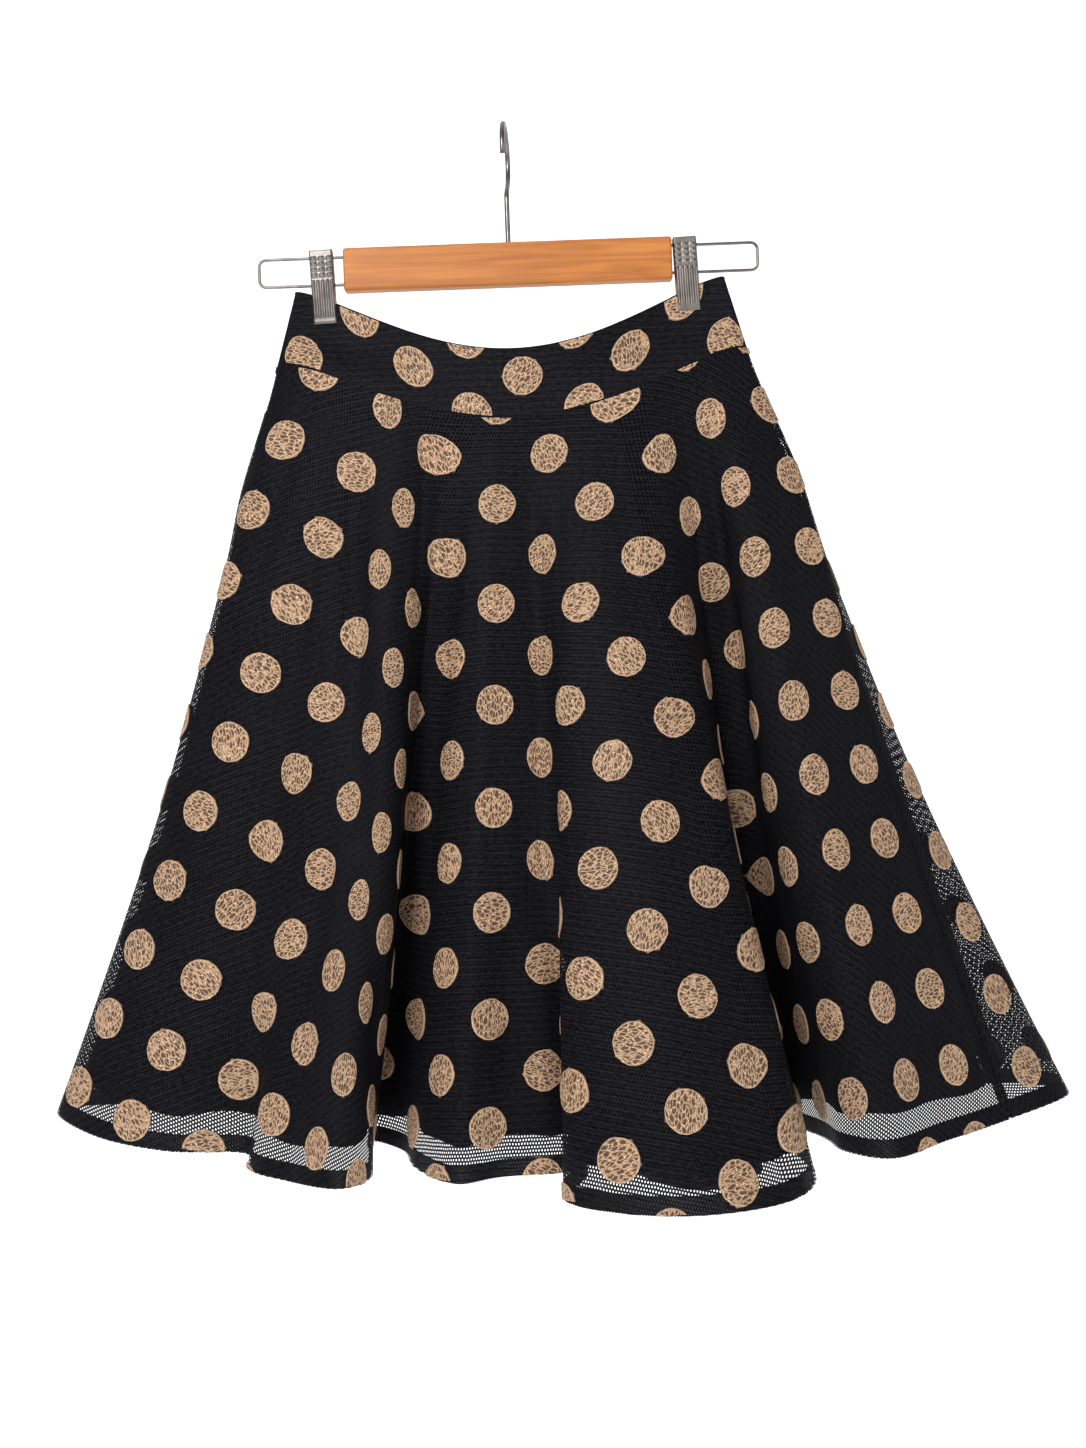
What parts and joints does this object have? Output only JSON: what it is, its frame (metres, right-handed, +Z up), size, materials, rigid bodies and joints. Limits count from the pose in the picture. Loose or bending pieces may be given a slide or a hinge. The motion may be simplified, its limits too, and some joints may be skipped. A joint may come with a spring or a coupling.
{
  "type": "tulle skirt on a clip hanger",
  "caption": "Half-circle knee-length net skirt with polka dots over an opaque lining, hung by its shaped waistband from a wooden bar hanger with wire loops and spring clips.",
  "frame": {"origin": "inside top of the hanger's hook, where the rail touches it", "axes": "+Z up, +X to the right as seen from the front, the skirt's front faces -Y; the bar lies along X"},
  "size_m": [0.7371, 0.3062, 0.7492],
  "materials": {
    "net": "fine black net with beige thread dots",
    "lining": "plain black woven lining",
    "wood": "clear varnish",
    "steel": "bright wire",
    "nickel": "satin nickel plate"
  },
  "bodies": {
    "root": {"waistband_front": "net", "waistband_back": "net", "skirt_front": "net", "skirt_back": "net", "lining_front": "lining", "lining_back": "lining", "hanger_bar": "wood", "hanger_hook": "steel", "loop_left": "steel", "loop_right": "steel", "clip_left_front": "nickel", "clip_left_back": "nickel", "clip_left_spring": "nickel", "clip_right_front": "nickel", "clip_right_back": "nickel", "clip_right_spring": "nickel"}
  },
  "joints": []
}
